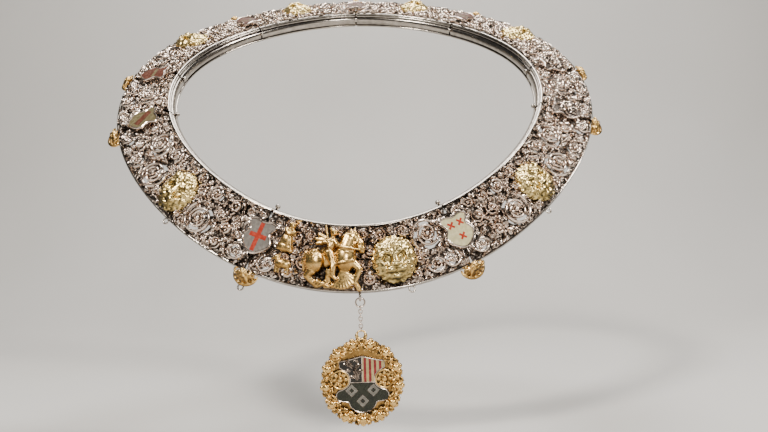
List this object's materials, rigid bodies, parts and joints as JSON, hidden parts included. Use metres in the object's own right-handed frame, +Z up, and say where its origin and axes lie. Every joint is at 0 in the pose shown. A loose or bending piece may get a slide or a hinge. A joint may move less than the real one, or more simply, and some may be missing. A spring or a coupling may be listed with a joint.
{
  "type": "ceremonial collar",
  "caption": "Wide hinged ring of pierced silver plates worn round the neck, with gilt lion masks, enamelled shields, a rider group and a hanging gilt medallion.",
  "frame": {"origin": "middle of the neck opening, in the plane of the ring's neck edge", "axes": "+Z up as worn, front and medallion towards -Y, +X to the viewer's right; the ring leans 44 degrees down to the front"},
  "size_m": [0.3644, 0.2634, 0.3421],
  "materials": {
    "silver": "cast and pierced silver with dark recesses",
    "gilt": "warm gilt, softly polished",
    "pale_gilt": "pale worn gilt",
    "enamel": "coloured enamel on metal"
  },
  "bodies": {
    "front": {"plate_front": "silver", "mask_front": "pale_gilt", "rider_group": "gilt", "kneeling_figure": "gilt", "small_lamb": "gilt", "pin_front_left": "gilt", "shield_front_left": "enamel", "pin_front_right": "gilt", "shield_front_right": "enamel", "jump_ring": "silver", "chain_link_1": "silver", "chain_link_2": "silver", "chain_link_3": "silver", "chain_link_4": "silver", "chain_link_5": "silver", "chain_link_6": "silver", "chain_link_7": "silver"},
    "left_front": {"plate_left_front": "silver", "mask_left_front": "pale_gilt", "pin_left": "gilt", "shield_left": "enamel"},
    "left_side": {"plate_left_side": "silver", "pin_left_rear": "gilt", "shield_left_rear": "enamel"},
    "left_back": {"plate_left_back": "silver", "mask_left_back": "pale_gilt", "pin_back_left": "gilt", "shield_back_left": "enamel"},
    "right_front": {"plate_right_front": "silver", "mask_right_front": "pale_gilt", "pin_right": "gilt", "shield_right": "enamel"},
    "right_side": {"plate_right_side": "silver", "pin_right_rear": "gilt", "shield_right_rear": "enamel"},
    "right_back": {"plate_right_back": "silver", "mask_right_back": "pale_gilt", "pin_back_right": "gilt", "shield_back_right": "enamel"},
    "back_left": {"plate_back_left": "silver", "mask_back_left": "pale_gilt", "pin_back": "gilt", "shield_back": "enamel"},
    "back_right": {"plate_back_right": "silver", "mask_back_right": "pale_gilt"},
    "medallion": {"medallion_wreath": "gilt", "medallion_disc": "gilt", "medallion_shield": "enamel"}
  },
  "joints": [
    {"name": "front_left_hinge", "type": "hinge", "parent": "front", "child": "left_front", "pos_m": [-0.05826, -0.09181, -0.11201], "axis": [0.408, 0.1655, 0.8979], "range_deg": [0, 0.9]},
    {"name": "left_hinge", "type": "hinge", "parent": "left_front", "child": "left_side", "pos_m": [-0.14823, -0.02462, -0.02838], "axis": [0.9219, 0.0136, 0.3872], "range_deg": [-5.8, 0]},
    {"name": "left_rear_hinge", "type": "hinge", "parent": "left_side", "child": "left_back", "pos_m": [-0.15414, 0.01706, 0.01454], "axis": [0.975, -0.2163, 0.0505], "range_deg": [0, 5.1]},
    {"name": "back_left_hinge", "type": "hinge", "parent": "left_back", "child": "back_left", "pos_m": [-0.09699, 0.09481, 0.08164], "axis": [0.6478, -0.6406, -0.4123], "range_deg": [0, 5]},
    {"name": "front_right_hinge", "type": "hinge", "parent": "front", "child": "right_front", "pos_m": [0.05826, -0.09181, -0.11201], "axis": [0.408, -0.1655, -0.8979], "range_deg": [0, 0.9]},
    {"name": "right_hinge", "type": "hinge", "parent": "right_front", "child": "right_side", "pos_m": [0.14823, -0.02462, -0.02838], "axis": [0.9219, -0.0136, -0.3872], "range_deg": [-5.8, 0]},
    {"name": "right_rear_hinge", "type": "hinge", "parent": "right_side", "child": "right_back", "pos_m": [0.15414, 0.01706, 0.01454], "axis": [0.975, 0.2163, -0.0505], "range_deg": [0, 5.1]},
    {"name": "back_right_hinge", "type": "hinge", "parent": "right_back", "child": "back_right", "pos_m": [0.09699, 0.09481, 0.08164], "axis": [0.6478, 0.6406, 0.4123], "range_deg": [0, 5.1]},
    {"name": "medallion_swing", "type": "hinge", "parent": "front", "child": "medallion", "pos_m": [0, -0.10735, -0.1648], "axis": [1, 0, 0], "range_deg": [-75, 75]}
  ],
  "couplings": [
    {"joint": "front_left_hinge", "follows": "back_left_hinge", "ratio": 0.1765},
    {"joint": "left_hinge", "follows": "back_left_hinge", "ratio": -1.1413},
    {"joint": "left_rear_hinge", "follows": "back_left_hinge", "ratio": 1},
    {"joint": "front_right_hinge", "follows": "back_left_hinge", "ratio": 0.1765},
    {"joint": "right_hinge", "follows": "back_left_hinge", "ratio": -1.1413},
    {"joint": "right_rear_hinge", "follows": "back_left_hinge", "ratio": 1},
    {"joint": "back_right_hinge", "follows": "back_left_hinge", "ratio": 1}
  ]
}
